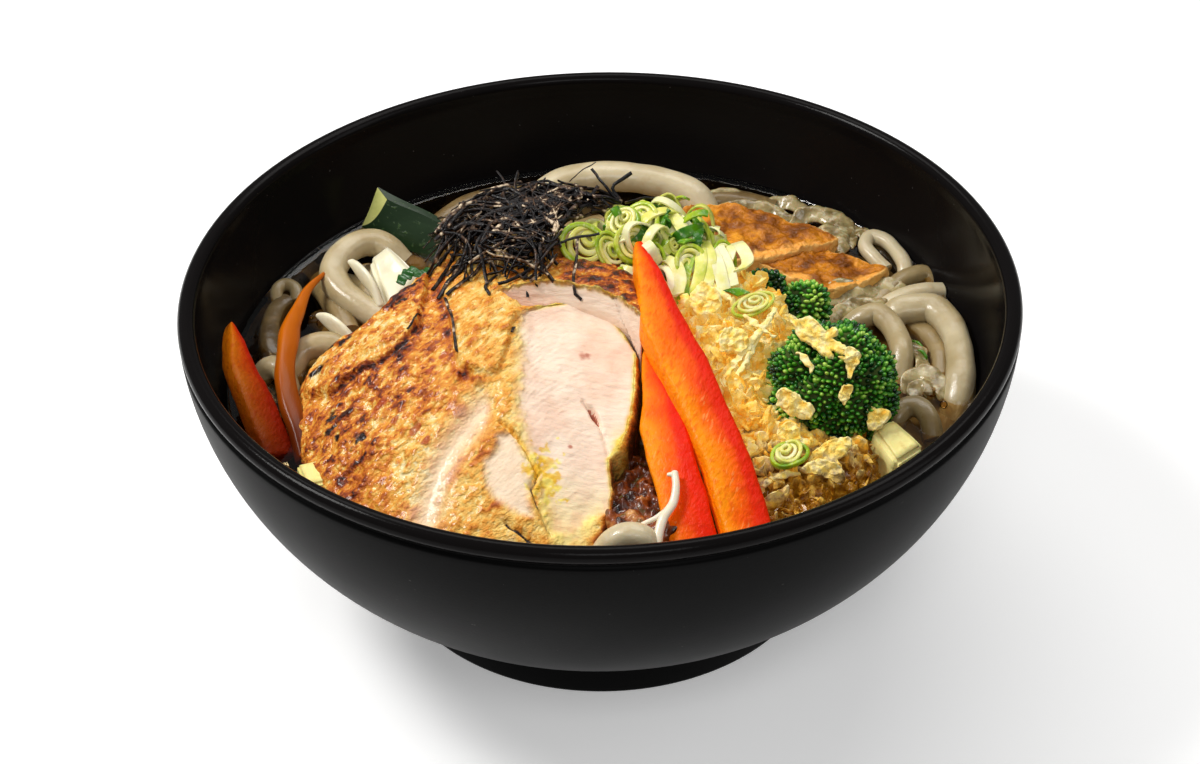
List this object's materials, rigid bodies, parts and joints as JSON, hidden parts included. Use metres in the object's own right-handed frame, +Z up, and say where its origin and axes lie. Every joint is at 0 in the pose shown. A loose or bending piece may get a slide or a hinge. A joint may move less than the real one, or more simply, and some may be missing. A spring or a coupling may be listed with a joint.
{
  "type": "udon noodle bowl",
  "caption": "Black melamine bowl of udon noodles in clear broth, topped with grilled chicken breast, seaweed, spring onion, pepper, broccoli, fried tofu and batter crumbs.",
  "frame": {"origin": "centre of the foot ring's underside, on the bowl's axis", "axes": "+Z up the bowl's axis; -Y is the front, towards the eater, and +X is the eater's right, where the broccoli lies"},
  "size_m": [0.2004, 0.2004, 0.0907],
  "materials": {
    "bowl": "black melamine, satin outside and glossy inside",
    "broth": "clear pale-brown broth",
    "noodles": "wet, smooth, slightly translucent",
    "chicken": "moist, browned skin with charred spots and a pale cut face",
    "seaweed": "dry, near-black shreds",
    "spring_onion": "wet green and white rings",
    "pepper": "smooth waxy red skin",
    "carrot": "wet, softened by the broth",
    "courgette": "dark green skin with a pale cut end",
    "pak_choi": "white stem, wet",
    "pak_choi_leaf": "dark green leaf, wet",
    "pale_vegetable": "pale yellow-green, wet",
    "tofu": "fried, oily brown skin",
    "broccoli": "fine green buds",
    "batter_crumbs": "crisp golden crumbs, wet at the bottom",
    "soaked_crumbs": "dark crumbs soaked with broth",
    "onion": "limp translucent slices",
    "bean_sprout": "wet white sprout"
  },
  "bodies": {
    "root": {"bowl": "bowl", "broth": "broth", "noodles": "noodles", "chicken_front": "chicken", "chicken_back": "chicken", "seaweed_shreds": "seaweed", "spring_onion_heap": "spring_onion", "spring_onion_slice_back": "spring_onion", "spring_onion_slice_front": "spring_onion", "pepper_long": "pepper", "pepper_short": "pepper", "pepper_left": "pepper", "carrot_strip": "carrot", "courgette_wedge": "courgette", "pak_choi_stem": "pak_choi", "pak_choi_leaf": "pak_choi_leaf", "stem_sliver_upper": "pak_choi", "stem_sliver_lower": "pak_choi", "pale_chip": "pale_vegetable", "pale_block": "pale_vegetable", "tofu_upper": "tofu", "tofu_lower": "tofu", "broccoli_front": "broccoli", "broccoli_back": "broccoli", "batter_crumbs": "batter_crumbs", "soaked_crumbs": "soaked_crumbs", "onion_slice_1": "onion", "onion_slice_2": "onion", "onion_slice_3": "onion", "bean_sprout": "bean_sprout"}
  },
  "joints": []
}
